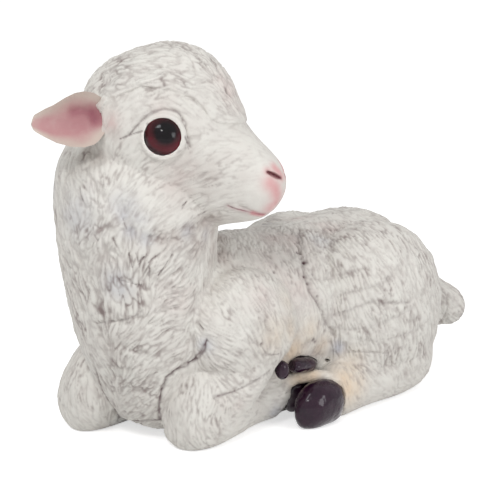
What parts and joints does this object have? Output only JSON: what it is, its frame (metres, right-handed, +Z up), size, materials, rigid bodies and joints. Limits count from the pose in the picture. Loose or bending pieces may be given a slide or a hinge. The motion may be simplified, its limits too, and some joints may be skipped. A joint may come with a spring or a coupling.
{
  "type": "lying lamb figurine",
  "caption": "Lying lamb ornament in hand-painted cast resin with its head turned back, inset glass eyes, set-on ears and glossy dark hooves; stands on a felt-covered flat base.",
  "frame": {"origin": "on the table, under the middle of the trunk, at the centre of the felt's lower face", "axes": "-X towards the lamb's chest, +X towards its rump, +Y towards its right flank, +Z up"},
  "size_m": [0.2397, 0.11, 0.175],
  "materials": {
    "painted_wool": "cast resin, cream-white paint with a plum-brown wash in the carved wool",
    "painted_face": "cast resin, smooth cream-white paint with pink nose and mouth",
    "painted_ear": "cast resin, white outside and airbrushed pink inside",
    "eye_glass": "clear polished glass dome",
    "iris_paint": "back-painted deep maroon iris with a black pupil",
    "hoof_gloss": "dark plum-brown gloss enamel",
    "dowel_wood": "plain beech dowel",
    "plug_plastic": "moulded stopper",
    "base_felt": "pressed felt"
  },
  "bodies": {
    "root": {"body_casting": "painted_wool", "head_casting": "painted_face", "head_dowel": "dowel_wood", "ear_left": "painted_ear", "ear_right": "painted_ear", "eye_left_lens": "eye_glass", "eye_right_lens": "eye_glass", "eye_left_iris": "iris_paint", "eye_right_iris": "iris_paint", "foreleg_left": "painted_wool", "foreleg_right": "painted_wool", "hind_leg_left": "painted_wool", "hind_leg_right": "painted_wool", "fore_hoof_left": "hoof_gloss", "fore_hoof_right": "hoof_gloss", "hind_hoof_left": "hoof_gloss", "hind_hoof_right": "hoof_gloss", "tail": "painted_wool", "fill_plug": "plug_plastic", "felt_pad": "base_felt"}
  },
  "joints": []
}
